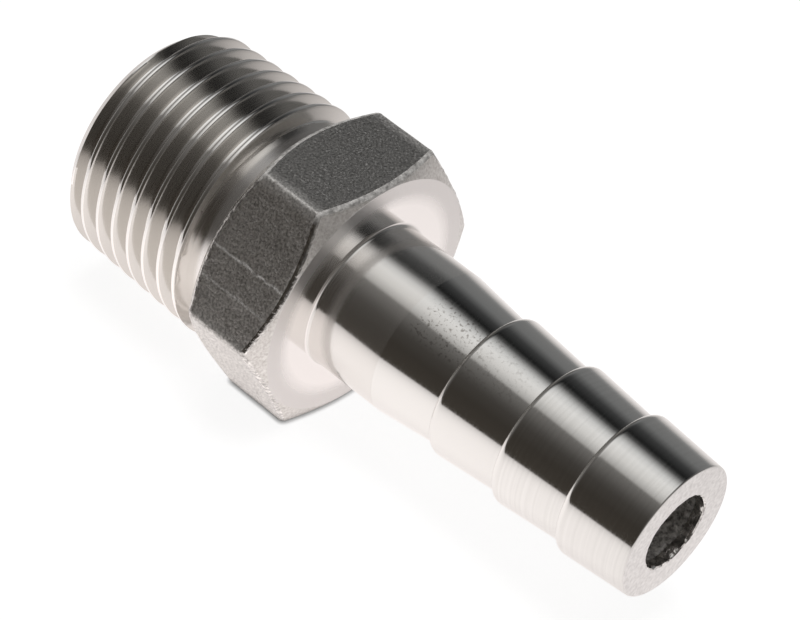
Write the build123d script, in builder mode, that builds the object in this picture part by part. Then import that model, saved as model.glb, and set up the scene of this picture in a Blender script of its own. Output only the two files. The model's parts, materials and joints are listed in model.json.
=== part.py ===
"""Hexagon hose tail, 1/2 inch: a male taper thread, a spanner hexagon and a barbed tail for a
13 mm hose, cast in stainless steel as one piece and finished on a lathe.

Millimetres. The bore runs along X and the tail points to +X. The origin is on the bore's axis,
in the face of the hexagon that the hose is pushed up to. The fitting lies on one flat, +Z up.
"""

import os
from math import atan, cos, degrees, radians, sqrt, tan

from build123d import *

# ---- spanner hexagon ----
HEX_AF = 22.0  # across the flats
HEX_LENGTH = 7.6  # from the tail's face back to the thread's face
HEX_EDGE_RADIUS = 0.3  # the six long edges are softened by the casting
HEX_CHAMFER_ANGLE = 30.0  # the corners are turned off at this angle to each face

# ---- male taper thread, R 1/2 ----
GAUGE_DIAMETER = 20.955  # over the crests, in the gauge plane
GAUGE_LENGTH = 8.2  # from the free end to the gauge plane
PITCH = 25.4 / 14  # fourteen threads to the inch
TAPER = 1 / 16  # growth in diameter for each unit of length
FLANK_ANGLE = 55.0  # between the two flanks of a groove
THREAD_END = -24.2  # X of the free end
THREAD_CHAMFER = 1.1  # 45 degrees, at the free end
NECK_RADIUS = 9.5  # plain neck between the thread and the hexagon
NECK_END = -9.4  # X where the neck starts to rise to the first thread

# ---- hose tail ----
SEAT_RADIUS = 6.45  # plain stretch beside the hexagon, where the hose clip sits
SEAT_LENGTH = 7.0
SEAT_CORNER = 0.3  # 45 degrees, left by the tool's nose where the seat meets the hexagon
BARB_RADIUS = 6.4
BARB_ROOT_RADIUS = 5.8  # foot of each ramp, just before the next barb
BARB_COUNT = 3
BARB_PITCH = 6.5
FIRST_BARB = 12.75  # X of the first barb's edge
TIP_RADIUS = 5.9
TIP_EDGE = 0.2  # broken edge of the tip

# ---- bore ----
BORE_RADIUS = 3.25
BORE_CHAMFER = 0.6  # 45 degrees, at the thread's end

# ---- the groove's cutter ----
GROOVE_START = -24.85  # X of the groove's middle where the cut starts, on top, off the free end
GROOVE_TURNS = 9  # enough to run out over the neck
CUTTER_RISE = 0.15  # how far the cutter stands proud of the crests

# ---- worked out from the above ----
TAIL_END = FIRST_BARB + BARB_COUNT * BARB_PITCH
HEX_CORNER_RADIUS = HEX_AF / sqrt(3)
HEX_CHAMFER = (HEX_CORNER_RADIUS - HEX_AF / 2) * tan(radians(HEX_CHAMFER_ANGLE))
HEX_MIDDLE = -HEX_LENGTH / 2
# Thread form: a sharp triangle with a sixth of its height taken off the crest and the root.
FLANK_SLOPE = tan(radians(FLANK_ANGLE / 2))
THREAD_DEPTH = PITCH / 2 / FLANK_SLOPE * 2 / 3
ROOT_FLAT = PITCH / 6
CONE_ANGLE = degrees(atan(TAPER / 2))


def crest_radius(x):
    """Radius of the thread's crests at x, on the taper through the gauge plane."""
    return GAUGE_DIAMETER / 2 + (x - THREAD_END - GAUGE_LENGTH) * TAPER / 2


# The hexagon: a six-sided bar with a flat face down and softened long edges. Its corners are
# turned off at both ends, so it keeps only what lies inside a double cone.
with BuildPart() as hexagon:
    with BuildSketch(Plane.YZ.offset(-HEX_LENGTH)):
        RegularPolygon(HEX_AF / 2, side_count=6, major_radius=False)
    extrude(amount=HEX_LENGTH)
    fillet(hexagon.edges().filter_by(Axis.X), HEX_EDGE_RADIUS)
    with BuildSketch(Plane.XY):
        with BuildLine():
            Polyline(
                (-HEX_LENGTH, 0),
                (-HEX_LENGTH, HEX_AF / 2),
                (-HEX_LENGTH + HEX_CHAMFER, HEX_CORNER_RADIUS),
                (-HEX_CHAMFER, HEX_CORNER_RADIUS),
                (0, HEX_AF / 2),
                (0, 0),
                close=True,
            )
        make_face()
    revolve(axis=Axis.X, mode=Mode.INTERSECT)

with BuildPart() as hose_tail:
    # The thread's blank: neck, shoulder, taper and chamfered end, turned in one cut.
    shoulder_end = NECK_END - (crest_radius(NECK_END) - NECK_RADIUS)
    chamfer_start = THREAD_END + THREAD_CHAMFER
    with BuildSketch(Plane.XY):
        with BuildLine():
            Polyline(
                (HEX_MIDDLE, 0),
                (HEX_MIDDLE, NECK_RADIUS),
                (NECK_END, NECK_RADIUS),
                (shoulder_end, crest_radius(shoulder_end)),
                (chamfer_start, crest_radius(chamfer_start)),
                (THREAD_END, crest_radius(chamfer_start) - THREAD_CHAMFER),
                (THREAD_END, 0),
                close=True,
            )
        make_face()
    revolve(axis=Axis.X)

    # The thread: a right-hand groove along a conical helix, cut one turn at a time. It starts
    # off the free end and runs out over the neck, which is turned just below its root. The
    # helix measures its pitch along the cone's slope.
    root_half = ROOT_FLAT / 2
    mouth_half = root_half + (THREAD_DEPTH + CUTTER_RISE) * FLANK_SLOPE
    for turn in range(GROOVE_TURNS):
        turn_start = GROOVE_START + turn * PITCH
        with BuildLine():
            one_turn = Helix(
                PITCH / cos(radians(CONE_ANGLE)),
                PITCH,
                crest_radius(turn_start),
                center=(turn_start, 0, 0),
                direction=(1, 0, 0),
                cone_angle=CONE_ANGLE,
            )
        with BuildSketch(Plane(origin=one_turn @ 0, x_dir=(0, 0, 1), z_dir=one_turn % 0)):
            with BuildLine():
                Polyline(
                    (-THREAD_DEPTH, -root_half),
                    (CUTTER_RISE, -mouth_half),
                    (CUTTER_RISE, mouth_half),
                    (-THREAD_DEPTH, root_half),
                    close=True,
                )
            make_face()
        sweep(path=one_turn, is_frenet=True, mode=Mode.SUBTRACT)
    print("volume with the thread cut %.1f mm3" % hose_tail.part.volume)

    add(hexagon.part)

    # The hose tail: the plain seat, then ramps that fall away behind each barb's sharp edge.
    seat_foot = SEAT_RADIUS + SEAT_CORNER
    with BuildSketch(Plane.XY):
        with BuildLine():
            Polyline(
                (HEX_MIDDLE, 0),
                (HEX_MIDDLE, seat_foot),
                (0, seat_foot),
                (SEAT_CORNER, SEAT_RADIUS),
                (SEAT_LENGTH, SEAT_RADIUS),
                (FIRST_BARB, BARB_ROOT_RADIUS),
            )
            for barb in range(BARB_COUNT):
                edge = FIRST_BARB + barb * BARB_PITCH
                Line((edge, BARB_ROOT_RADIUS), (edge, BARB_RADIUS))
                if barb < BARB_COUNT - 1:
                    Line((edge, BARB_RADIUS), (edge + BARB_PITCH, BARB_ROOT_RADIUS))
            Polyline(
                (edge, BARB_RADIUS),
                (TAIL_END - TIP_EDGE, TIP_RADIUS),
                (TAIL_END, TIP_RADIUS - TIP_EDGE),
                (TAIL_END, 0),
                (HEX_MIDDLE, 0),
            )
        make_face()
    revolve(axis=Axis.X)

    # The bore, drilled right through, with a chamfer at the thread's end.
    with BuildSketch(Plane.YZ.offset(THREAD_END)):
        Circle(BORE_RADIUS)
    extrude(amount=TAIL_END - THREAD_END, mode=Mode.SUBTRACT)
    mouth = hose_tail.edges().filter_by(GeomType.CIRCLE).group_by(Axis.X)[0].sort_by(SortBy.RADIUS)[0]
    chamfer(mouth, BORE_CHAMFER)

hose_tail.part.label = "hose_tail"
os.makedirs("parts", exist_ok=True)
export_step(hose_tail.part, "parts/hose_tail.step")

solid = hose_tail.part
centre = solid.center()
print("solids", len(solid.solids()), "faces", len(solid.faces()), "valid", solid.is_valid)
print("volume %.1f mm3, box %s" % (solid.volume, solid.bounding_box()))
print("centre of mass X %.2f" % centre.X)
print("the flat it lies on runs from X %.2f to %.2f" % (HEX_CHAMFER - HEX_LENGTH, -HEX_CHAMFER))
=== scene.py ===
# %% [markdown]
# # A hexagon hose tail, in stainless steel
#
# The fitting joins a 13 mm hose to a half inch pipe thread. It is one piece: an investment casting
# whose thread, seat, barbs and faces are then turned on a lathe, while the six spanner flats keep
# the skin of the casting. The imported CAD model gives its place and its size. This script dresses
# it: it turns the same part again with rounded edges and a full thread, gives each surface its
# finish, and lights it.

import json
from math import ceil, cos, pi, radians, sin, sqrt, tan

import bmesh
import bpy
from mathutils import Matrix, Quaternion, Vector, noise

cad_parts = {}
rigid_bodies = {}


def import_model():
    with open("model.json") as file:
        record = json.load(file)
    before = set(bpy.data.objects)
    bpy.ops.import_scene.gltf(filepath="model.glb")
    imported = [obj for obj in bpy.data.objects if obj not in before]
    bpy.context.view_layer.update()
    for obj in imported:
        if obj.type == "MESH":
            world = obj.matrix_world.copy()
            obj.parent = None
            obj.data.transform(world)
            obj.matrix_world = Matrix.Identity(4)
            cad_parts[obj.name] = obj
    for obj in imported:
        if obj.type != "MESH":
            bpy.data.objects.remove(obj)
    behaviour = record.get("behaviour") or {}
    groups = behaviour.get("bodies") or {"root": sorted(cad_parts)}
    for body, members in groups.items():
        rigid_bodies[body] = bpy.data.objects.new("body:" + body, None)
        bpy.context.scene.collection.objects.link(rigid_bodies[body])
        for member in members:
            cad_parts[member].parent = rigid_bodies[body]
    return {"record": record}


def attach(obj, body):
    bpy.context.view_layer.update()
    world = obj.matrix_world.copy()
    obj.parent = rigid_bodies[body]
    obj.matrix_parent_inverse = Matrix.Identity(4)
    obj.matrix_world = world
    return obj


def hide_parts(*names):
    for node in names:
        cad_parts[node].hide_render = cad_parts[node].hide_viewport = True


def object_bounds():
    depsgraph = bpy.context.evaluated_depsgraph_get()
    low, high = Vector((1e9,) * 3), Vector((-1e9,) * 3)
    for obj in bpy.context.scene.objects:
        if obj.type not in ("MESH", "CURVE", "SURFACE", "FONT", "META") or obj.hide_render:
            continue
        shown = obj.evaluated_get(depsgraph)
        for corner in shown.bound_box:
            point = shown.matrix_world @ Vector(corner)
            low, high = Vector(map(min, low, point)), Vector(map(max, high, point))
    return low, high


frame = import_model()
cad_low, cad_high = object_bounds()
print("CAD box, m:", [round(c, 5) for c in cad_low], [round(c, 5) for c in cad_high])

# %% [markdown]
# ## Sizes
#
# A lathe hand thinks in millimetres, so the part is modelled in millimetres and scaled to metres
# once, at the end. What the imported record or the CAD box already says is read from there. The
# sizes here are the ones that several steps share, and each other size stands beside its step.

# %% Sizes, in millimetres
METRE = 1000.0
mounts = {mount["name"]: mount for mount in frame["record"]["mounts"]}
FREE_END = cad_low.x * METRE  # where the thread starts
TIP = cad_high.x * METRE  # where the hose is pushed on
HALF_FLATS = -cad_low.z * METRE  # the fitting lies on one flat
BORE = mounts["through_bore"]["dims"]["r_mm"]
SEAT = mounts["hose_seat"]["dims"]["r_mm"]

HEX_LENGTH = 8.3
HEX_CORNER = HALF_FLATS * 2 / sqrt(3)
NECK = 9.45  # the plain neck between the thread and the hexagon
CORNER_FILLET = 0.3  # where the seat and the neck meet the hexagon
BORE_CHAMFER = 0.6

STEPS = 180  # round one turn
print("length %.2f mm, across flats %.2f mm" % (TIP - FREE_END, 2 * HALF_FLATS))

# %% [markdown]
# ## The outline a lathe would cut
#
# A turned part is one outline spun round its axis. The outline is a chain of corners, and each
# corner says how far it is rounded, because no tool leaves a perfectly sharp one. The vertex bevel
# does the rounding: its offset runs along the edges, so a radius is first turned into the distance
# from the corner to where its arc starts.


# %% A chain of corners, each with its rounding, and the lathe
ROUND_STEPS = 5


def turned_outline(bm, corners):
    """Adds an open chain through (x, radius, rounding) corners, and rounds them."""
    places = [Vector((x, radius, 0)) for x, radius, _ in corners]
    points = [bm.verts.new(place) for place in places]
    for start, end in zip(points, points[1:]):
        bm.edges.new((start, end))
    for i in range(1, len(corners) - 1):
        rounding = corners[i][2]
        if rounding:
            turn = (places[i] - places[i - 1]).angle(places[i + 1] - places[i])
            bmesh.ops.bevel(
                bm,
                geom=[points[i]],
                offset=rounding * tan(turn / 2),
                offset_type="OFFSET",
                segments=ROUND_STEPS,
                profile=0.5,
                affect="VERTICES",
                material=-1,
            )
    return bm.edges[:]


def spin(bm, geometry, angle, steps, **settings):
    """Spins points and edges round the bore."""
    settings = {"use_merge": False, "use_duplicate": False, **settings}
    centre = {"cent": (0, 0, 0), "axis": (1, 0, 0)}
    bmesh.ops.spin(bm, geom=geometry, angle=angle, steps=steps, **centre, **settings)


print("corners are rounded in %d steps" % ROUND_STEPS)


# %% [markdown]
# ## The turned body
#
# The chain runs over the hexagon, along the seat, down and up the barbs, round the tip and back
# through the bore. Each barb is a ramp that rises from the tip's side to an edge on the hexagon's
# side, so a hose slides on over it and bites against the edge when it is pulled. The hexagon starts
# as a disc a little larger than its corners.

# %% Sizes of the hexagon's ends, the seat and the barbs
FACE_RADIUS = 10.7  # the turned ring on each face of the hexagon
CORNER_DROP = 0.98  # how far the corners are turned back, on the tail's side
THREAD_SIDE_DROP = 1.4  # and on the thread's side, where the cone is steeper
FACE_EDGE_ROUND = 0.1
SEAT_END = 7.0
BARB = 6.4
BARB_FOOT = 5.8
BARBS = 3
BARB_PITCH = 6.5
FIRST_BARB = TIP - BARBS * BARB_PITCH
BARB_ROUND = 0.6
FOOT_ROUND = 0.08
TIP_RADIUS = 5.9
TIP_ROUND = 0.2

tail_corners = [(0, SEAT, CORNER_FILLET), (SEAT_END, SEAT, 0), (FIRST_BARB, BARB_FOOT, FOOT_ROUND)]
for barb in range(BARBS):
    barb_edge = FIRST_BARB + barb * BARB_PITCH
    tail_corners.append((barb_edge, BARB, BARB_ROUND))
    if barb < BARBS - 1:
        tail_corners.append((barb_edge + BARB_PITCH, BARB_FOOT, FOOT_ROUND))
print("%d corners from the seat to the last barb" % len(tail_corners))

# %% [markdown]
# The disc is larger than the hexagon, so its two cones are drawn on to it at their own slope. The
# bore's wall gets close rings behind the tip, for a burr to move later. Half a step of turn keeps
# the points off the hexagon's corners, where two cuts meet.

# %% Turn the hexagon's disc, the hose tail and the bore
DISC = HEX_CORNER + 0.1  # the flats are cut from a disc this large
TO_DISC = (DISC - FACE_RADIUS) / (HEX_CORNER - FACE_RADIUS)  # carries each corner cone on to it
JOIN_RING = NECK + CORNER_FILLET + 0.7  # on the thread's face of the hexagon
END_RING = 6.5  # on the free end
MOUTH_DEPTH = 0.1  # the bore's mouth is broken over this length
MOUTH_WIDTH = 0.12
CHAMFER_ROUND = 0.05
BORE_MOUTH_RINGS = [0.0, 0.25, 0.5, 0.8, 1.2, 1.8, 2.6, 3.8, 5.2]  # depths below the tip

body = bmesh.new()
outline = turned_outline(
    body,
    [
        (-HEX_LENGTH, JOIN_RING, 0),
        (-HEX_LENGTH, FACE_RADIUS, FACE_EDGE_ROUND),
        (-HEX_LENGTH + THREAD_SIDE_DROP * TO_DISC, DISC, 0),
        (-CORNER_DROP * TO_DISC, DISC, 0),
        (0, FACE_RADIUS, FACE_EDGE_ROUND),
        *tail_corners,
        (TIP, TIP_RADIUS, TIP_ROUND),
        (TIP, BORE + MOUTH_WIDTH, 0),
        *[(TIP - MOUTH_DEPTH - depth, BORE, 0) for depth in BORE_MOUTH_RINGS],
        (FREE_END + BORE_CHAMFER, BORE, 0),
        (FREE_END, BORE + BORE_CHAMFER, CHAMFER_ROUND),
        (FREE_END, END_RING, 0),
    ],
)
half_step = Matrix.Rotation(pi / STEPS, 3, "X")
bmesh.ops.rotate(body, cent=(0, 0, 0), matrix=half_step, verts=body.verts[:])
spin(body, body.verts[:] + outline, 2 * pi, STEPS, use_merge=True)
print("turned body: %d faces" % len(body.faces))

# %% [markdown]
# ## The six flats
#
# The flats are cut with six planes, as a mill or the casting's die would leave them. Each cut opens
# the disc, and one new face closes it. Where a flat meets the turned cone at each end, the edge is
# the curve that every nut shows. The faces are marked with the number of the cast finish as they
# are made, so that later cuts and bevels carry it along.

# %% Cut the flats
TURNED, CAST, TIP_FACE, ROUGH_BORE, THREAD, FLANK, FACED, NECKED, CONE, SEATED, RIM = range(11)
FLATS = 6


def everything(bm):
    """All that a bmesh holds, as the tools want it."""
    return bm.verts[:] + bm.edges[:] + bm.faces[:]


flat_angles = [radians(90 + flat * 360 / FLATS) for flat in range(FLATS)]
flat_directions = [Vector((0, cos(angle), sin(angle))) for angle in flat_angles]
for outward in flat_directions:
    cut = bmesh.ops.bisect_plane(
        body,
        geom=everything(body),
        dist=0.0005,
        plane_co=outward * HALF_FLATS,
        plane_no=outward,
        clear_outer=True,
    )
    rim = [item for item in cut["geom_cut"] if isinstance(item, bmesh.types.BMEdge)]
    made = bmesh.ops.contextual_create(body, geom=rim)
    for face in made["faces"]:
        face.material_index = CAST
bmesh.ops.remove_doubles(body, verts=body.verts[:], dist=0.002)
bmesh.ops.recalc_face_normals(body, faces=body.faces[:])
print("%d flats cut, %d faces" % (FLATS, len(body.faces)))

# %% [markdown]
# The long edges between the flats are as sharp as the die makes them, which is not very. One bevel
# rounds all six. Its offset is the distance from the edge to where the arc starts, and two flats
# turn 60 degrees, so that distance is the radius times the tangent of 30 degrees.


# %% Round the long edges
LONG_EDGE_ROUND = 0.5


def between(edge, first, second):
    """True for an edge whose two faces have these two finishes."""
    return sorted(face.material_index for face in edge.link_faces) == sorted((first, second))


long_edges = [edge for edge in body.edges if between(edge, CAST, CAST)]
bmesh.ops.bevel(
    body,
    geom=long_edges,
    offset=LONG_EDGE_ROUND * tan(radians(30)),
    offset_type="OFFSET",
    segments=5,
    profile=0.5,
    affect="EDGES",
    material=-1,
)
print("%d long edges rounded" % len(long_edges))

# %% [markdown]
# A casting has no sharp edge where a flat meets the turned cone, and no two stretches of that edge
# are alike. A bevel this small would run into the points of the curve. So the flats and the turned
# side are each inset by a narrow strip along that edge. The inset may leave a point a few microns
# outside a flat, so such points are brought back, and the points on the edge itself are then
# pressed in, some more and some less.

# %% Soften the rims of the flats
RIM_STRIP = 0.26  # the rims are rounded over this width on each side
RIM_DROP = 0.09
RIM_UNEVENNESS = 0.05
RIM_BEADS = 2.4  # to the millimetre

cast_side = [face for face in body.faces if face.material_index == CAST]
turned_side = [face for face in body.faces if face.material_index == TURNED]
for patch in (cast_side, turned_side):
    bmesh.ops.inset_region(
        body,
        faces=patch,
        thickness=RIM_STRIP,
        depth=0,
        use_boundary=False,
        use_even_offset=True,
        use_interpolate=False,
    )
for outward in flat_directions:
    for vert in body.verts:
        vert.co -= outward * max(0, vert.co.dot(outward) - HALF_FLATS)
body.normal_update()
rim_points = {vert for edge in body.edges if between(edge, CAST, TURNED) for vert in edge.verts}
pressed = {vert: RIM_DROP + RIM_UNEVENNESS * noise.noise(vert.co * RIM_BEADS) for vert in rim_points}
inward = {vert: vert.normal.copy() for vert in rim_points}
for vert in rim_points:
    vert.co -= inward[vert] * pressed[vert]
    for face in vert.link_faces:
        face.material_index = RIM
print("%d points along the rims pressed in" % len(rim_points))

# %% [markdown]
# The flats are cut into a fine net as well, because a casting's skin is never quite flat and needs
# points to be uneven with.


# %% Cut the flats into a net
NET = 0.3


def with_corners(faces):
    """These faces with their edges and points, as the bisect tool wants them."""
    edges = {edge for face in faces for edge in face.edges}
    points = {vert for face in faces for vert in face.verts}
    return [*points, *edges, *faces]


def slice_up(bm, faces, direction, first, last):
    """Cuts the faces with planes a net's width apart, from first to last along a direction."""
    geometry = with_corners(faces)
    for number in range(1, ceil((last - first) / NET)):
        geometry = bmesh.ops.bisect_plane(
            bm,
            geom=geometry,
            dist=0.01,
            plane_co=direction * (first + number * NET),
            plane_no=direction,
        )["geom"]


along = Vector((1, 0, 0))
slice_up(body, [face for face in body.faces if face.material_index == CAST], along, -HEX_LENGTH, 0)
for outward in flat_directions:
    on_flat = [
        face
        for face in body.faces
        if all(abs(vert.co.dot(outward) - HALF_FLATS) < 0.001 for vert in face.verts)
    ]
    slice_up(body, on_flat, outward.cross(along), -HEX_CORNER / 2, HEX_CORNER / 2)
print("body with its net: %d faces" % len(body.faces))

# %% [markdown]
# ## The thread
#
# A half inch taper thread has fourteen threads to the inch and widens by one part in sixteen. One
# tooth, from the middle of one flank to the same place a pitch further on, is spun once round the
# bore while it moves along it by a pitch. That turn is copied along the bore, and each copy meets
# the turn before. The thread is made straight, and then every point is moved out or in by the
# taper.

# %% Draw one tooth
PITCH = 25.4 / 14
TAPER = 1 / 16  # growth in diameter for each unit of length
GAUGE_RADIUS = 20.955 / 2
GAUGE_PLANE = FREE_END + 8.2
FLANK_SLOPE = tan(radians(27.5))  # each flank leans by half of the 55 degrees between them
THREAD_DEPTH = PITCH / 2 / FLANK_SLOPE * 2 / 3
LAND = PITCH / 6  # the width of a crest and of a root before they are rounded
CREST_ROUND = 0.15
ROOT_ROUND = 0.14
GROOVE_ON_TOP = -24.85  # X of a groove's middle, straight above the bore
TURNS_PAST_END = 2
TOOTH_START = GROOVE_ON_TOP - (TURNS_PAST_END - 0.25) * PITCH

flank_run = THREAD_DEPTH * FLANK_SLOPE
half_way = GAUGE_RADIUS - THREAD_DEPTH / 2
root = GAUGE_RADIUS - THREAD_DEPTH
crest_start = TOOTH_START + flank_run / 2
root_start = crest_start + LAND + flank_run

thread = bmesh.new()
turned_outline(
    thread,
    [
        (TOOTH_START, half_way, 0),
        (crest_start, GAUGE_RADIUS, CREST_ROUND),
        (crest_start + LAND, GAUGE_RADIUS, CREST_ROUND),
        (root_start, root, ROOT_ROUND),
        (root_start + LAND, root, ROOT_ROUND),
        (TOOTH_START + PITCH, half_way, 0),
    ],
)
flank_edges = [edge for edge in thread.edges if edge.calc_length() > 2 * CREST_ROUND]
bmesh.ops.subdivide_edges(thread, edges=flank_edges, cuts=4)
print("tooth %.2f mm deep, %d points" % (THREAD_DEPTH, len(thread.verts)))

# %% [markdown]
# The tooth is first turned to stand straight above the bore, where the place of a groove is given.
# Each step of the spin also moves it along, and the copies of the turn are merged where they touch.

# %% Spin the tooth into a thread
TURNS = ceil((-HEX_LENGTH - TOOTH_START) / PITCH)
to_the_top = Matrix.Rotation(pi / 2, 3, "X")
bmesh.ops.rotate(thread, cent=(0, 0, 0), matrix=to_the_top, verts=thread.verts[:])
spin(thread, thread.verts[:] + thread.edges[:], 2 * pi, STEPS, dvec=(PITCH / STEPS, 0, 0))
one_turn = everything(thread)
for turn in range(1, TURNS):
    copy = bmesh.ops.duplicate(thread, geom=one_turn)["geom"]
    copied = [item for item in copy if isinstance(item, bmesh.types.BMVert)]
    bmesh.ops.translate(thread, vec=(turn * PITCH, 0, 0), verts=copied)
bmesh.ops.remove_doubles(thread, verts=thread.verts[:], dist=0.004)
print("thread: %d turns, %d faces" % (TURNS, len(thread.faces)))

# %% [markdown]
# The threading tool also meets three other cuts: the chamfer on the free end, the neck that lets
# the tool run out, and the small fillet in the corner of the hexagon. One function gives the radius
# that all of them leave at a place along the bore.


# %% How far the other cuts leave the thread standing
FREE_CHAMFER = 1.1
NECK_END = -10.45
NECK_RISE = 0.14  # for each millimetre toward the hexagon
RUN_OUT = 0.1  # the last tooth drops to the neck over this length
PAST_CRESTS = 1.2  # the shoulder is drawn this many thread depths high, clear of the crests


def crest_radius(x):
    """Radius of the thread's crests at x, on the taper through the gauge plane."""
    return GAUGE_RADIUS + (x - GAUGE_PLANE) * TAPER / 2


def turned_limit(x):
    """The largest radius that the chamfer, the neck and its fillet leave at x."""
    chamfer = crest_radius(FREE_END + FREE_CHAMFER) - FREE_CHAMFER + (x - FREE_END)
    neck = NECK + NECK_RISE * max(x - NECK_END, 0)
    shoulder = neck + THREAD_DEPTH * PAST_CRESTS * max(NECK_END - x, 0) / RUN_OUT
    into_fillet = min(max(x + HEX_LENGTH + CORNER_FILLET, 0), CORNER_FILLET)
    fillet = CORNER_FILLET - sqrt(CORNER_FILLET**2 - into_fillet**2)
    return min(chamfer, shoulder + fillet)


print("radius left at the free end: %.2f mm" % turned_limit(FREE_END))

# %% [markdown]
# The taper moves every point first. The two ends are then trimmed flat, the neck gets points where
# it begins, and a point that stands proud of the other cuts is brought down to them.


# %% Taper the thread, trim it and turn its two ends
def set_radius(vert, radius):
    """Moves a point straight out from the bore's axis, or in toward it."""
    vert.co.yz = vert.co.yz * (radius / vert.co.yz.length)


for vert in thread.verts:
    set_radius(vert, vert.co.yz.length - GAUGE_RADIUS + crest_radius(vert.co.x))

for place, away, trims in (
    (FREE_END, -1, True),
    (-HEX_LENGTH, 1, True),
    (NECK_END - RUN_OUT, 1, False),
    (NECK_END, 1, False),
):
    bmesh.ops.bisect_plane(
        thread,
        geom=everything(thread),
        dist=1e-4,
        plane_co=(place, 0, 0),
        plane_no=(away, 0, 0),
        clear_outer=trims,
    )
for vert in thread.verts:
    limit = turned_limit(vert.co.x)
    set_radius(vert, limit if vert.co.x > NECK_END - 0.001 else min(vert.co.yz.length, limit))
for face in thread.faces:
    face.material_index = THREAD
radii = [vert.co.yz.length for vert in thread.verts]
print("thread radius from %.2f to %.2f" % (min(radii), max(radii)))

# %% [markdown]
# ## One closed skin
#
# The thread and the turned body are joined in two flat rings, one on the free end and one on the
# thread's face of the hexagon. A ring that lies in a flat face hides the join, whatever the number
# of points on each side of it. Doubles are merged first and the normals recalculated last, because
# the tool that turns them outward needs a closed skin.

# %% Join the thread to the body
IN_PLANE = 0.01  # what is this near to a plane lies in it
part = bmesh.new()
for piece in (body, thread):
    scratch = bpy.data.meshes.new("scratch")
    piece.to_mesh(scratch)
    piece.free()
    part.from_mesh(scratch)
    bpy.data.meshes.remove(scratch)

for end in (FREE_END, -HEX_LENGTH):
    rims = [
        edge
        for edge in part.edges
        if edge.is_boundary and all(abs(vert.co.x - end) < IN_PLANE for vert in edge.verts)
    ]
    filled = bmesh.ops.triangle_fill(part, edges=rims, use_beauty=True)
    for item in filled["geom"]:
        if isinstance(item, bmesh.types.BMFace):
            item.material_index = TURNED
    print("ring at x %.1f: %d edges filled between" % (end, len(rims)))
bmesh.ops.remove_doubles(part, verts=part.verts[:], dist=0.0005)
bmesh.ops.recalc_face_normals(part, faces=part.faces[:])
print("open edges left: %d" % sum(not edge.is_manifold for edge in part.edges))

# %% [markdown]
# ## Which finish goes where
#
# The flats, their rims and the thread are marked already. Where a face lies tells the rest: the
# tip's ring is faced off with a coarse tool and left dull, the bore keeps the skin of the casting
# core but for its cleaned mouth, the flanks of the thread lean more than its crests, and the
# hexagon's cones, its face, the neck and the seat were each cut with a tool of their own.

# %% Mark the finishes
REAMED = 0.9  # how far in from the tip the bore has been cleaned up
FLANK_LEAN = 0.6  # X of the normal, above which a face of the thread is a flank
CLOSE = 0.1  # a face this near to the bore's radius lies in the bore
IN_END_FACE = 0.05  # the hexagon's face on the tail's side reaches this far each way

for face in part.faces:
    middle = face.calc_center_median()
    radius = middle.yz.length
    round_seat = face.material_index == TURNED and radius > SEAT
    if middle.x > TIP - IN_PLANE:
        face.material_index = TIP_FACE
    elif radius < BORE + CLOSE and middle.x > TIP - REAMED:
        face.material_index = RIM
    elif radius < BORE + CLOSE and middle.x > FREE_END + BORE_CHAMFER:
        face.material_index = ROUGH_BORE
    elif face.material_index == THREAD and middle.x > NECK_END:
        face.material_index = NECKED
    elif face.material_index == THREAD and abs(face.normal.x) > FLANK_LEAN:
        face.material_index = FLANK
    elif round_seat and -HEX_LENGTH - IN_PLANE < middle.x < -IN_END_FACE:
        face.material_index = CONE
    elif round_seat and middle.x < IN_END_FACE:
        face.material_index = FACED
    elif face.material_index == TURNED and 0 < middle.x < SEAT_END:
        face.material_index = SEATED
counts = [sum(face.material_index == finish for face in part.faces) for finish in range(RIM + 1)]
print("faces of each finish:", counts)

# %% [markdown]
# A cast flat is not flat. It has broad hollows where the metal shrank and small dimples from the
# mould's sand, and the bore's mouth has a burr that nobody took off. Each is a noise that moves
# points: those inside a flat only sink, so the flats stay within the size across them, and those
# near the mouth move in and out.

# %% Uneven flats and a burr in the bore's mouth
WAVINESS = 0.03  # how deep the broad hollows of the cast flats are
WAVES = 0.7  # to the millimetre
DIMPLES = 0.012
DIMPLES_PER_MM = 2.5
BURR = 0.1
BURR_REACH = 6.0
BURR_WALL = 0.2  # how far from the bore's radius a point may be and still be moved
BURR_WAVES = 1.2  # to the millimetre
BURR_TEETH = 4


def hollow(place, per_mm):
    """A smooth noise between 0 and 1 with so many hollows to the millimetre."""
    return 0.5 + 0.5 * noise.noise(place * per_mm)


for vert in part.verts:
    if all(face.material_index == CAST for face in vert.link_faces):
        sunk = WAVINESS * hollow(vert.co, WAVES) + DIMPLES * hollow(vert.co, DIMPLES_PER_MM)
        vert.co -= vert.normal * sunk
for vert in part.verts:
    depth = TIP - vert.co.x
    if vert.co.yz.length < BORE + BURR_WALL and depth < BURR_REACH:
        ragged = noise.noise(vert.co * BURR_WAVES) + 0.5 * noise.noise(vert.co * BURR_TEETH)
        set_radius(vert, vert.co.yz.length + BURR * ragged)
print("flats sink by up to %.3f mm" % (WAVINESS + DIMPLES))

# %% [markdown]
# The finished bmesh becomes one object at the origin. Faces are shaded smooth, edges sharper than
# 40 degrees stay sharp, and a modifier weighs the normals by area, so that the large turned faces
# stay flat right up to their rounded edges.

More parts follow.
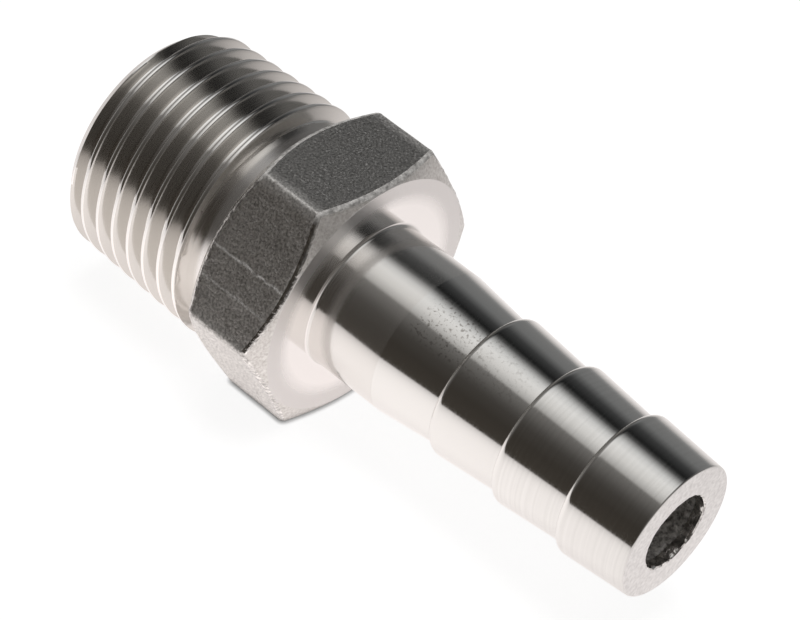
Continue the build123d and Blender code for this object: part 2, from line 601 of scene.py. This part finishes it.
# %% Make the hose tail
SHARP = radians(40)
bmesh.ops.scale(part, vec=(1 / METRE,) * 3, verts=part.verts[:])
mesh = bpy.data.meshes.new("hose tail")
part.to_mesh(mesh)
part.free()
mesh.shade_smooth()
mesh.set_sharp_from_angle(angle=SHARP)
hose_tail = bpy.data.objects.new("turned_hose_tail", mesh)
bpy.context.collection.objects.link(hose_tail)
even_normals = hose_tail.modifiers.new("flat faces stay flat", "WEIGHTED_NORMAL")
even_normals.mode = "FACE_AREA_WITH_ANGLE"
even_normals.keep_sharp = True
print("hose tail: %d triangles" % sum(len(face.vertices) - 2 for face in mesh.polygons))

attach(hose_tail, "root")
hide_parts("hose_tail")

# %% [markdown]
# ## Finishes
#
# Bright steel has almost no pattern of its own: it shows the room. What tells a turned surface from
# a cast one is how it breaks that picture up. Fine rings left by the tool and the pits of the
# casting are effects that several finishes share, so each is a node group, built once and placed
# in each material with its own values.


# %% Node helpers
def node_group(name, inputs, outputs):
    """A new shader group with float inputs {name: default} and the named float outputs."""
    group = bpy.data.node_groups.new(name, "ShaderNodeTree")
    for socket, default in inputs.items():
        made = group.interface.new_socket(socket, in_out="INPUT", socket_type="NodeSocketFloat")
        made.default_value = default
    for socket in outputs:
        group.interface.new_socket(socket, in_out="OUTPUT", socket_type="NodeSocketFloat")
    return group, group.nodes.new("NodeGroupInput"), group.nodes.new("NodeGroupOutput")


def add_node(tree, kind, links=None, **settings):
    """A node with its settings, and its inputs linked from sockets or set to values."""
    node = tree.nodes.new(kind)
    for key, value in settings.items():
        setattr(node, key, value)
    for socket, source in (links or {}).items():
        if isinstance(source, bpy.types.NodeSocket):
            tree.links.new(source, node.inputs[socket])
        else:
            node.inputs[socket].default_value = source
    return node


def calc(tree, operation, first, second=0.0, clamp=False):
    """The result of one Math node."""
    node = add_node(tree, "ShaderNodeMath", {0: first, 1: second}, operation=operation, use_clamp=clamp)
    return node.outputs[0]


def fade(tree, value, start, full, low=0.0, high=1.0):
    """Goes from low to high while the value goes from start to full."""
    sizes = {"Value": value, "From Min": start, "From Max": full, "To Min": low, "To Max": high}
    return add_node(tree, "ShaderNodeMapRange", sizes).outputs["Result"]


def blend(tree, factor, first, second):
    """A colour between two others."""
    mixed = add_node(tree, "ShaderNodeMix", {"Factor": factor}, data_type="RGBA")
    mixed.inputs["A"].default_value = (*first, 1.0)
    mixed.inputs["B"].default_value = (*second, 1.0)
    return mixed.outputs["Result"]


def product(tree, *factors):
    """All of these multiplied together."""
    total = factors[0]
    for factor in factors[1:]:
        total = calc(tree, "MULTIPLY", total, factor)
    return total


def spots(tree, vector, per_metre, detail, roughness=0.5):
    """A noise with so many spots to the metre."""
    sockets = {"Vector": vector, "Scale": per_metre, "Detail": detail, "Roughness": roughness}
    return add_node(tree, "ShaderNodeTexNoise", sockets).outputs["Fac"]


def object_place(tree):
    """The point being shaded, in metres along the object's own axes."""
    return add_node(tree, "ShaderNodeTexCoord").outputs["Object"]


def split(tree, vector):
    """The X, Y and Z of a vector."""
    return add_node(tree, "ShaderNodeSeparateXYZ", {0: vector}).outputs


def off_axis(tree, vector):
    """How far a point is from the bore's axis."""
    sideways = add_node(tree, "ShaderNodeVectorMath", {0: vector, 1: (0, 1, 1)}, operation="MULTIPLY")
    length = add_node(tree, "ShaderNodeVectorMath", {0: sideways.outputs[0]}, operation="LENGTH")
    return length.outputs["Value"]


NOISE_LOW = 0.3  # a noise seldom leaves this range
NOISE_HIGH = 0.7
print("helpers for node groups, masks and distances")

# %% [markdown]
# ### Turning marks
#
# A lathe tool leaves fine rings, one for each turn of the work. On a cylinder they follow one
# another along the bore, and on a face they follow one another outward. One number serves both:
# the place along the bore less the distance from its axis. A noise along that number is cheaper
# than cutting rings into the mesh, and it stays sharp at any size.

# %% Turning marks
marks_group, marks_in, marks_out = node_group(
    "turning marks", {"Rings per metre": 6000.0, "Unevenness": 0.5}, ["Height"]
)
marks_place = object_place(marks_group)
along_bore = split(marks_group, marks_place)["X"]
along_outline = calc(marks_group, "SUBTRACT", along_bore, off_axis(marks_group, marks_place))
rings = add_node(
    marks_group,
    "ShaderNodeTexNoise",
    {
        "W": calc(marks_group, "MULTIPLY", along_outline, marks_in.outputs["Rings per metre"]),
        "Scale": 1.0,
        "Detail": 2.0,
        "Roughness": marks_in.outputs["Unevenness"],
    },
    noise_dimensions="1D",
)
marks_group.links.new(rings.outputs["Fac"], marks_out.inputs["Height"])
print("turning marks: %d nodes" % len(marks_group.nodes))

# %% [markdown]
# ### Cast grain
#
# The skin of an investment casting copies the fine sand of its mould: small pebbles that lie in
# broader patches. Two noises make it, a fine one for the pebbles and a coarse one for the patches.
# The pebbles also give a shade: the hollows between them are darker.

# %% Cast grain
grain_group, grain_in, grain_out = node_group(
    "cast grain", {"Grains per metre": 5000.0, "Patches per metre": 500.0}, ["Height", "Shade"]
)
PATCH_HEIGHT = 0.6  # beside the pebbles' height of 1
grain_place = object_place(grain_group)
grain = spots(grain_group, grain_place, grain_in.outputs["Grains per metre"], 3.0, 0.6)
patches = spots(grain_group, grain_place, grain_in.outputs["Patches per metre"], 2.0)
height = calc(grain_group, "ADD", grain, calc(grain_group, "MULTIPLY", patches, PATCH_HEIGHT))
grain_group.links.new(height, grain_out.inputs["Height"])
grain_group.links.new(fade(grain_group, grain, NOISE_LOW, NOISE_HIGH), grain_out.inputs["Shade"])
print("cast grain: %d nodes" % len(grain_group.nodes))

# %% [markdown]
# ### Steel
#
# Every finish is the same metal, so one function makes it. What differs is added by others: the
# marks of a tool or the grain of a mould, each with its own spacing and depth in metres. A tool
# also leaves streaks, smoother and rougher by turns, and a mould leaves light and dark grains.


# %% Steel materials
def steel(name):
    """The hose tail's next material, all metal, as its tree and its shader."""
    material = bpy.data.materials.new(name)
    material.use_nodes = True
    shader = material.node_tree.nodes["Principled BSDF"]
    shader.inputs["Metallic"].default_value = 1.0
    mesh.materials.append(material)
    return material.node_tree, shader


def effect(tree, group, per_metre):
    """The outputs of one of the two groups, with so many rings or grains to the metre."""
    return add_node(tree, "ShaderNodeGroup", {0: per_metre}, node_tree=group).outputs


def press_in(tree, shader, height, depth):
    """Presses a height of this depth in metres into the steel's surface."""
    bump = add_node(tree, "ShaderNodeBump", {"Height": height, "Distance": depth})
    tree.links.new(bump.outputs["Normal"], shader.inputs["Normal"])


def turned(name, colour, rings_per_metre, depth, smooth, rough):
    """Steel as a tool leaves it, in streaks from smooth to rough."""
    tree, shader = steel(name)
    shader.inputs["Base Color"].default_value = (*colour, 1.0)
    height = effect(tree, marks_group, rings_per_metre)["Height"]
    press_in(tree, shader, height, depth)
    streaks = fade(tree, height, NOISE_LOW, NOISE_HIGH, smooth, rough)
    tree.links.new(streaks, shader.inputs["Roughness"])
    return tree, shader


def grained(name, roughness, grains_per_metre, depth, dark, light):
    """Steel as a mould leaves it, in grains from dark to light."""
    tree, shader = steel(name)
    shader.inputs["Roughness"].default_value = roughness
    skin = effect(tree, grain_group, grains_per_metre)
    press_in(tree, shader, skin["Height"], depth)
    tree.links.new(blend(tree, skin["Shade"], dark, light), shader.inputs["Base Color"])
    return tree, shader


print("steel from a tool and from a mould")

# %% [markdown]
# ### The eleven finishes
#
# They are made in the order of their numbers. The tail is bright with shallow rings. The flats are
# grain all over. The tip's ring is finely grained from a coarse cut, and the bore is coarse and dark.
# The thread's crests and roots are given the brightest colour and its flanks a greyer one, a painted
# highlight and a painted shade on the same steel.

# %% The first six finishes, in the order of their numbers
BRIGHT = (0.78, 0.765, 0.74)
PALE_GRAIN = (1.0, 0.98, 0.95)
MICRON = 1e-6

turned_tree, turned_steel = turned("bright turned steel", BRIGHT, 5000, 2 * MICRON, 0.08, 0.13)
cast_tree, cast_steel = grained(
    "cast steel skin", 0.36, 5000, 30 * MICRON, (0.34, 0.33, 0.315), PALE_GRAIN
)
grained("dull faced steel", 0.35, 3000, 14 * MICRON, (0.7, 0.69, 0.68), (0.92, 0.91, 0.9))
_, bore_steel = grained("rough bore", 0.42, 2600, 160 * MICRON, (0.16, 0.15, 0.14), PALE_GRAIN)
bore_steel.inputs["Metallic"].default_value = 0.5
# painted highlight: the crests and roots get a brighter colour than the flanks
turned("thread crests and roots with painted highlight", (0.95, 0.94, 0.92), 8000, 0.5 * MICRON, 0.09, 0.14)
# painted shade: the flanks get a greyer colour than the crests and roots
turned("thread flanks with painted shade", (0.7, 0.68, 0.65), 6000, 0.3 * MICRON, 0.15, 0.19)
print("materials:", [material.name for material in mesh.materials])

# %% [markdown]
# The hexagon's face was cut last, and beside the seat the tool dwelt and left a polished ring. From
# there outward the face is duller. A fade on the distance from the bore's axis sets both the
# roughness and how metallic the face is.

# %% The faced steel, with its polished ring
POLISHED = 8.3 / METRE  # the ring is polished up to here
DULL = 9.6 / METRE  # and dull from here
faced_tree, faced_steel = steel("faced steel")
faced_steel.inputs["Base Color"].default_value = (0.86, 0.835, 0.82, 1.0)
faint_rings = effect(faced_tree, marks_group, 3000)["Height"]
press_in(faced_tree, faced_steel, faint_rings, 0.03 * MICRON)
from_axis = off_axis(faced_tree, object_place(faced_tree))
for socket, inside, outside in (("Roughness", 0.1, 0.34), ("Metallic", 1.0, 0.7)):
    ring = fade(faced_tree, from_axis, POLISHED, DULL, inside, outside)
    faced_tree.links.new(ring, faced_steel.inputs[socket])
print("polished up to %.1f mm from the axis" % (POLISHED * METRE))

# %% [markdown]
# The neck is turned with a blunt tool. The cones at the hexagon's corners were turned too lightly
# to clean up, so the pits of the casting are left in them. The seat is the smoothest cut of all.
# The rims of the flats are burnished by the tool that turned the cones. Those round the top flat are
# made less metallic by their height, so they show pale: a painted highlight along the top.

# %% The last four finishes
TOP_RIMS_PALE_FROM = 10.2 / METRE  # above this the rims grow matt
TOP_RIMS_PALE_FULL = 10.7 / METRE
turned("turned neck", (0.92, 0.9, 0.88), 5000, 0.2 * MICRON, 0.19, 0.25)
_, cone_steel = grained(
    "turned cone with cast pits", 0.38, 4200, 24 * MICRON, (0.66, 0.63, 0.6), PALE_GRAIN
)
cone_steel.inputs["Metallic"].default_value = 0.72
_, seat_steel = turned("turned seat", BRIGHT, 5000, 0.5 * MICRON, 0.1, 0.14)
seat_steel.inputs["Metallic"].default_value = 0.95
rim_tree, rim_steel = grained(
    "burnished rims", 0.16, 2200, 70 * MICRON, (0.3, 0.29, 0.28), PALE_GRAIN
)
rim_height = split(rim_tree, object_place(rim_tree))["Z"]
# painted highlight: above this height the rims lose their metal and show pale
painted_top_rim_highlight = fade(rim_tree, rim_height, TOP_RIMS_PALE_FROM, TOP_RIMS_PALE_FULL, 1.0, 0.1)
rim_tree.links.new(painted_top_rim_highlight, rim_steel.inputs["Metallic"])
print("materials:", [material.name for material in mesh.materials])

# %% [markdown]
# Close up, the ramps are not all alike. The first two still show pits that the cut did not quite
# clean up, in a narrow band along one side. They are the highest spots of a noise, painted dark as the
# shade in the pits, and masks fade them in and out along the bore and across the band.

# %% Pits on the first ramps, painted dark as shade
PITS_PER_METRE = 3800.0
PIT_FROM = 0.54  # the noise above which a pit begins
PIT_FULL = 0.7
PAINTED_PIT_SHADE = -0.6
PIT_SIDE = radians(25)  # the pits lie this far round from the top, and opposite
PITTED_HALF = 1.5 / METRE  # half the width of the pitted band
CLEAN_FROM = 2.4 / METRE
PITS_BEGIN = (7.4, 8.4)  # along the bore
PITS_THIN_OUT = (11.5, 15.0)
PITS_THINNED = 0.35
PITS_END = (17.0, 19.5)

bright_place = object_place(turned_tree)
bright_axes = split(turned_tree, bright_place)


def fade_along_bore(places, low, high):
    """A mask that goes from one level to another between two places along the bore, in mm."""
    start, full = places
    return fade(turned_tree, bright_axes["X"], start / METRE, full / METRE, low, high)


pits = spots(turned_tree, bright_place, PITS_PER_METRE, 3.0)
across_band = calc(
    turned_tree,
    "ADD",
    calc(turned_tree, "MULTIPLY", bright_axes["Y"], cos(PIT_SIDE)),
    calc(turned_tree, "MULTIPLY", bright_axes["Z"], sin(PIT_SIDE)),
)
from_band = calc(turned_tree, "ABSOLUTE", across_band)
# painted shade: the pits darken the colour of the first ramps
painted_pit_shade = product(
    turned_tree,
    fade(turned_tree, pits, PIT_FROM, PIT_FULL, 0.0, PAINTED_PIT_SHADE),
    fade_along_bore(PITS_BEGIN, 0.0, 1.0),
    fade_along_bore(PITS_THIN_OUT, 1.0, PITS_THINNED),
    fade_along_bore(PITS_END, 1.0, 0.0),
    fade(turned_tree, from_band, PITTED_HALF, CLEAN_FROM, 1.0, 0.0),
)
print("%d pits to the metre" % PITS_PER_METRE)

# %% [markdown]
# On the last two ramps the tool has chattered, which leaves faint ripples round the bore. They are
# the turning marks again, wider apart, painted into the steel's colour as paler and darker bands: a
# painted reflection of the ripples.

# %% Chatter on the last ramps, and the painted shade of both
RIPPLES_PER_METRE = 2600.0
PAINTED_RIPPLE_SHADE = 0.16
RIPPLES_BEGIN = (18.5, 20.0)
CLEAN_SHADE = 0.69  # where neither pits nor ripples are, between the two colours below
ripples = effect(turned_tree, marks_group, RIPPLES_PER_METRE)["Height"]
ripple_height = calc(turned_tree, "SUBTRACT", ripples, 0.5)
ripple_fade = fade_along_bore(RIPPLES_BEGIN, 0.0, PAINTED_RIPPLE_SHADE)
# painted reflection: the ripples make the colour paler and darker in bands
painted_ripple_shade = calc(turned_tree, "MULTIPLY", ripple_height, ripple_fade)
painted_pit_and_ripple_shade = calc(turned_tree, "ADD", painted_pit_shade, painted_ripple_shade)
shaded = calc(turned_tree, "ADD", painted_pit_and_ripple_shade, CLEAN_SHADE, clamp=True)
colour_with_painted_shade = blend(turned_tree, shaded, (0.3, 0.28, 0.26), (1.0, 1.0, 0.98))
turned_tree.links.new(colour_with_painted_shade, turned_steel.inputs["Base Color"])
print("%d ripples to the metre" % RIPPLES_PER_METRE)

# %% [markdown]
# Where the two halves of the casting's mould met, a low ragged line is left along the middle of one
# flat, and a fainter scratch runs beside it. Scale sits on both, so they are paler and less metallic
# than the skin around them. Distance across the flat is a dot product with the flat's own
# direction, and the opposite flat shows the same line.

# %% The mould's parting line
PARTING_LINE = 0.00043  # below the middle of the front flat, in metres
SCRATCH = 0.003
LINE_WIDTH = 0.00016
STRAYING = 0.0005
PARTING_PALE = 1.1
SCRATCH_PALE = 0.6
RAGGED_PER_METRE = 1500.0
TOWARD_FRONT_FLAT = (0, -cos(pi / 3), -sin(pi / 3))
cast_place = object_place(cast_tree)
over_flat = {0: cast_place, 1: TOWARD_FRONT_FLAT}
across = add_node(cast_tree, "ShaderNodeVectorMath", over_flat, operation="DOT_PRODUCT").outputs["Value"]
ragged = spots(cast_tree, cast_place, RAGGED_PER_METRE, 3.0)
strays = calc(cast_tree, "MULTIPLY", calc(cast_tree, "SUBTRACT", ragged, 0.5), STRAYING)


def pale_line(middle, strength):
    """A mask that is strongest on a line along the bore, this far below the flat's middle."""
    away = calc(cast_tree, "SUBTRACT", calc(cast_tree, "ADD", across, strays), middle)
    near = calc(cast_tree, "DIVIDE", calc(cast_tree, "ABSOLUTE", away), LINE_WIDTH)
    return calc(cast_tree, "MULTIPLY", calc(cast_tree, "SUBTRACT", 1.0, near, clamp=True), strength)


both_lines = (pale_line(PARTING_LINE, PARTING_PALE), pale_line(SCRATCH, SCRATCH_PALE))
lines = calc(cast_tree, "ADD", *both_lines)
print("parting line %.2f mm below the middle of the flat" % (PARTING_LINE * METRE))

# %% [markdown]
# Handling rubs the skin along the long edges of the hexagon, and here and there a grain of scale is
# left in it. Both are masks on the same shader: how far a point is from the bore's axis finds the
# edges, and the highest spots of a fine noise find the scale.

# %% Rubbed edges and specks of scale
RUBBED_FROM = 12.2 / METRE  # from the bore's axis
RUBBED_FULL = 12.6 / METRE
RUBBED_PALE = 0.4
SPECKS_PER_METRE = 5200.0
SPECK_FROM = 0.54  # the noise above which a speck begins
SPECK_FULL = 0.75
SPECK_PALE = 0.35
BREAK_UP = 1.6  # how strongly the ragged noise breaks up what is pale
from_bore = off_axis(cast_tree, cast_place)
rubbed = fade(cast_tree, from_bore, RUBBED_FROM, RUBBED_FULL, 0.0, RUBBED_PALE)
specks = spots(cast_tree, cast_place, SPECKS_PER_METRE, 2.0)
scale = fade(cast_tree, specks, SPECK_FROM, SPECK_FULL, 0.0, SPECK_PALE)
pale = calc(cast_tree, "MAXIMUM", rubbed, lines)
broken = calc(cast_tree, "MULTIPLY", pale, calc(cast_tree, "MULTIPLY", ragged, BREAK_UP))
metal = calc(cast_tree, "SUBTRACT", calc(cast_tree, "SUBTRACT", 1.0, broken), scale, clamp=True)
cast_tree.links.new(metal, cast_steel.inputs["Metallic"])
print("rubbed edges and %d specks to the metre" % SPECKS_PER_METRE)

# %% [markdown]
# ## The studio
#
# A steel part is lit by what it reflects. Small metal goods stand on a white table inside a tent:
# the table shines up at them, a softbox hangs above, and dark cards in front give the black bands
# that make a cylinder look round. Each is a simple mesh that glows.


# %% Helpers for the studio's pieces
def empty_material(name):
    """A material and its tree, with nothing in it yet."""
    material = bpy.data.materials.new(name)
    material.use_nodes = True
    material.node_tree.nodes.clear()
    return material, material.node_tree


def place_surface(tree, shader, second=None):
    """Makes this shader the material's surface, or the sum of two."""
    if second:
        shader = add_node(tree, "ShaderNodeAddShader", {0: shader.outputs[0], 1: second.outputs[0]})
    add_node(tree, "ShaderNodeOutputMaterial", {"Surface": shader.outputs[0]})


def glowing(tree, colour, strength):
    """A shader that only glows."""
    return add_node(tree, "ShaderNodeEmission", {"Color": colour, "Strength": strength})


def stage_object(name, bm, material, visible_camera=True):
    """Turns a bmesh into an object of the studio, which the camera may see or look through."""
    stage_mesh = bpy.data.meshes.new(name)
    bm.to_mesh(stage_mesh)
    bm.free()
    stage_mesh.materials.append(material)
    made = bpy.data.objects.new(name, stage_mesh)
    bpy.context.collection.objects.link(made)
    made.visible_camera = visible_camera
    return made


def ray_kinds(tree):
    """Two masks: rays from the camera, and rays that a shiny or clear surface sends on."""
    ray = add_node(tree, "ShaderNodeLightPath").outputs
    sent_on = calc(tree, "MAXIMUM", ray["Is Glossy Ray"], ray["Is Transmission Ray"])
    return ray["Is Camera Ray"], sent_on


print("helpers for the studio")

# %% [markdown]
# The table's glow is a painted pool of light that falls off with distance, which the steel shows,
# while the camera sees plain white. A very short painted shadow, from an ambient occlusion node,
# darkens the glow where the fitting touches it.

# %% The white table
FLOOR_FRONT = 0.095  # the table ends here, on the camera's side
FLOOR_REACH = 0.5
POOL = 0.063  # the light falls off over this distance
POOL_FORWARD = 0.013  # from a place in front of the fitting
POOL_GLOW = 0.78
TABLE_GLOW = 0.26  # far from the pool
SEEN_GLOW = 0.88  # what the camera sees
PAINTED_SHADOW_REACH = 0.0004  # the shadow where the fitting touches reaches this far
WARM_WHITE = (0.97, 0.915, 0.9)  # what the steel shows of the table
WHITE = (1.0, 1.0, 1.0)
PAINT = (0.3, 0.3, 0.3, 1.0)  # what the table gives back of the lamp's light

table = bmesh.new()
bmesh.ops.create_grid(table, x_segments=1, y_segments=1, size=FLOOR_REACH)
bmesh.ops.translate(table, vec=(0, FLOOR_REACH - FLOOR_FRONT, cad_low.z), verts=table.verts[:])
table_material, table_tree = empty_material("white table top")
from_pool = {0: object_place(table_tree), 1: (0, -POOL_FORWARD, 0)}
distance = add_node(table_tree, "ShaderNodeVectorMath", from_pool, operation="DISTANCE").outputs["Value"]
# painted light: the glow that the steel shows falls off round a pool in front of the fitting
spread = calc(table_tree, "POWER", calc(table_tree, "DIVIDE", distance, POOL), 2.0)
falling = calc(table_tree, "DIVIDE", POOL_GLOW, calc(table_tree, "ADD", spread, 1.0))
pool = calc(table_tree, "ADD", falling, TABLE_GLOW)
from_camera, mirrored = ray_kinds(table_tree)
seen = calc(table_tree, "MULTIPLY", from_camera, SEEN_GLOW)
lit = calc(table_tree, "ADD", seen, calc(table_tree, "MULTIPLY", mirrored, pool))
# painted shadow: ambient occlusion darkens the glow where the fitting touches the table
painted_contact_shadow = add_node(table_tree, "ShaderNodeAmbientOcclusion", {"Distance": PAINTED_SHADOW_REACH}, samples=8)
glow = calc(table_tree, "MULTIPLY", lit, painted_contact_shadow.outputs["AO"])
tint = blend(table_tree, from_camera, WARM_WHITE, WHITE)
shine = glowing(table_tree, tint, glow)
paint = add_node(table_tree, "ShaderNodeBsdfDiffuse", {"Color": PAINT})
place_surface(table_tree, shine, paint)
floor = stage_object("white table", table, table_material)
print("table from y %.3f to %.3f" % (-FLOOR_FRONT, 2 * FLOOR_REACH - FLOOR_FRONT))

# %% [markdown]
# The tent is a half tube over the part, open below, where the table is. The camera looks through
# its cloth.

# %% The light tent
TENT_RADIUS = 0.35
TENT_LENGTH = 0.9
TENT_EDGE = 105  # degrees from straight up, in front and behind

tent = bmesh.new()
edge_angle = radians(TENT_EDGE)
start = Vector((0, -TENT_RADIUS * sin(edge_angle), TENT_RADIUS * cos(edge_angle)))
ends = [tent.verts.new(start + Vector((side * TENT_LENGTH / 2, 0, 0))) for side in (-1, 1)]
spin(tent, ends + [tent.edges.new(ends)], -2 * edge_angle, 60)
print("tent cloth: %d faces" % len(tent.faces))

# %% [markdown]
# The tent's glow is written as a few stops round the tube, from the grey card behind, over the
# softbox, to the dark card in front. Toward its ends the cloth grows dim and a little warmer.

# %% The tent's glow
DIM_FROM = 0.21  # along the bore
DIM_FULL = 0.27
DIMMED_BY = 0.7
HAZE_GLOW = 0.06
WARM_GREY = (1.0, 0.95, 0.9, 1.0)
TENT_STOPS = [  # degrees from straight up toward the camera's side, glow, warmth
    (-105, 0.36, 0.0),
    (-92, 0.31, 0.0),
    (-84, 0.21, 0.0),
    (-62, 0.18, -0.01),
    (-46, 0.05, -0.02),
    (-30, 0.01, -0.02),
    (-24, 0.08, 0.0),
    (-12, 0.70, 0.0),
    (-3, 0.86, 0.01),
    (9, 0.74, 0.02),
    (18, 0.53, 0.02),
    (22, 0.42, 0.03),
    (24.5, 0.17, 0.04),
    (34, 0.125, 0.05),
    (44, 0.075, 0.07),
    (52, 0.052, 0.10),
    (70, 0.038, 0.15),
    (97, 0.045, 0.17),
    (105, 0.045, 0.17),
]

tent_material, tent_tree = empty_material("tent cloth and cards")
tent_axes = split(tent_tree, object_place(tent_tree))
toward_front = calc(tent_tree, "MULTIPLY", tent_axes["Y"], -1.0)
round_tube = calc(tent_tree, "ARCTAN2", toward_front, tent_axes["Z"])
along_ramp = calc(tent_tree, "ADD", calc(tent_tree, "DIVIDE", round_tube, 2 * edge_angle), 0.5)
ramp = add_node(tent_tree, "ShaderNodeValToRGB", {"Fac": along_ramp})
stops = ramp.color_ramp.elements
while len(stops) > 1:
    stops.remove(stops[-1])
for number, (degrees_up, stop_glow, warmth) in enumerate(TENT_STOPS):
    position = (degrees_up + TENT_EDGE) / (2 * TENT_EDGE)
    stop = stops[0] if number == 0 else stops.new(position)
    stop.position = position
    stop.color = (stop_glow * (1 + warmth), stop_glow, stop_glow * (1 - warmth), 1.0)
far_along = calc(tent_tree, "ABSOLUTE", tent_axes["X"])
toward_ends = fade(tent_tree, far_along, DIM_FROM, DIM_FULL)
remaining = calc(tent_tree, "SUBTRACT", 1.0, calc(tent_tree, "MULTIPLY", toward_ends, DIMMED_BY))
cloth = glowing(tent_tree, ramp.outputs["Color"], remaining)
haze_strength = calc(tent_tree, "MULTIPLY", toward_ends, HAZE_GLOW)
haze = glowing(tent_tree, WARM_GREY, haze_strength)
place_surface(tent_tree, cloth, haze)
light_tent = stage_object("light tent", tent, tent_material, visible_camera=False)
print("tent: %d stops" % len(TENT_STOPS))

# %% [markdown]
# Grey cards close the two ends of the tent. The flanks of the thread look along the bore, so they
# show these cards, and stay darker than the crests and roots, which show the softbox. Their colour
# is also painted greyer, as painted shade.

# %% The end cards
CARD_GLOW = 0.17
CARD_RADIUS = TENT_RADIUS * 1.2
cards = bmesh.new()
for side in (-1, 1):
    disc = bmesh.ops.create_circle(cards, cap_ends=True, segments=48, radius=CARD_RADIUS)["verts"]
    bmesh.ops.rotate(cards, cent=(0, 0, 0), matrix=Matrix.Rotation(pi / 2, 3, "Y"), verts=disc)
    bmesh.ops.translate(cards, vec=(side * TENT_LENGTH / 2, 0, 0), verts=disc)
card_material, card_tree = empty_material("grey card")
place_surface(card_tree, glowing(card_tree, WARM_GREY, CARD_GLOW))
end_cards = stage_object("end cards", cards, card_material, visible_camera=False)
print("end cards at x %.2f and %.2f" % (-TENT_LENGTH / 2, TENT_LENGTH / 2))

# %% [markdown]
# The room round the tent is plain white. The camera and the steel's reflections see it at full
# strength, and everything else gets only a part of its light. One softbox above throws the soft
# shadow on the table. The steel doesn't show it, because the tent already carries its reflection.

# %% The room
FILL = 0.4  # the room's light where it is neither seen nor mirrored
SOFTBOX_HEIGHT = 0.3
SOFTBOX_SIZE = (0.2, 0.15)
SOFTBOX_WATTS = 0.35
world = bpy.data.worlds.new("studio")
bpy.context.scene.world = world
world.use_nodes = True
world_tree = world.node_tree
backdrop = world_tree.nodes["Background"]
shown = calc(world_tree, "MAXIMUM", *ray_kinds(world_tree))
strength = calc(world_tree, "ADD", calc(world_tree, "MULTIPLY", shown, 1.0 - FILL), FILL)
world_tree.links.new(strength, backdrop.inputs["Strength"])
backdrop.inputs["Color"].default_value = (*WHITE, 1.0)

lamp = bpy.data.lights.new("overhead softbox", "AREA")
lamp.shape = "RECTANGLE"
lamp.size, lamp.size_y = SOFTBOX_SIZE
lamp.energy = SOFTBOX_WATTS
softbox = bpy.data.objects.new("overhead softbox", lamp)
softbox.location = (0, 0, SOFTBOX_HEIGHT)
softbox.visible_glossy = False
bpy.context.collection.objects.link(softbox)
print("softbox %.2f m above the fitting" % SOFTBOX_HEIGHT)

# %% [markdown]
# ## The camera
#
# A long lens, near enough to show a little perspective, looks down past the tip along the fitting.
# The camera is also rolled, so the fitting lies across the frame from corner to corner.

# %% The camera
CAMERA_AZIMUTH = 35.93  # degrees round from the front, toward the tip
CAMERA_HEIGHT = 41.71  # degrees above the table
CAMERA_ROLL = 11.59
CAMERA_DISTANCE = 0.24785
CAMERA_TARGET = Vector((0.00256, 0.00137, -0.00044))
FOCAL_LENGTH = 142.4

azimuth, elevation = radians(CAMERA_AZIMUTH), radians(CAMERA_HEIGHT)
toward_camera = Vector((sin(azimuth) * cos(elevation), -cos(azimuth) * cos(elevation), sin(elevation)))
lens = bpy.data.cameras.new("camera")
lens.lens = FOCAL_LENGTH
lens.clip_start = 0.01
camera = bpy.data.objects.new("camera", lens)
camera.rotation_mode = "QUATERNION"
camera.location = CAMERA_TARGET + toward_camera * CAMERA_DISTANCE
level = (-toward_camera).to_track_quat("-Z", "Y")
camera.rotation_quaternion = level @ Quaternion((0, 0, 1), radians(CAMERA_ROLL))
bpy.context.collection.objects.link(camera)
bpy.context.scene.camera = camera
bpy.context.scene.view_settings.view_transform = "Standard"
print("camera at", [round(c, 4) for c in camera.location])
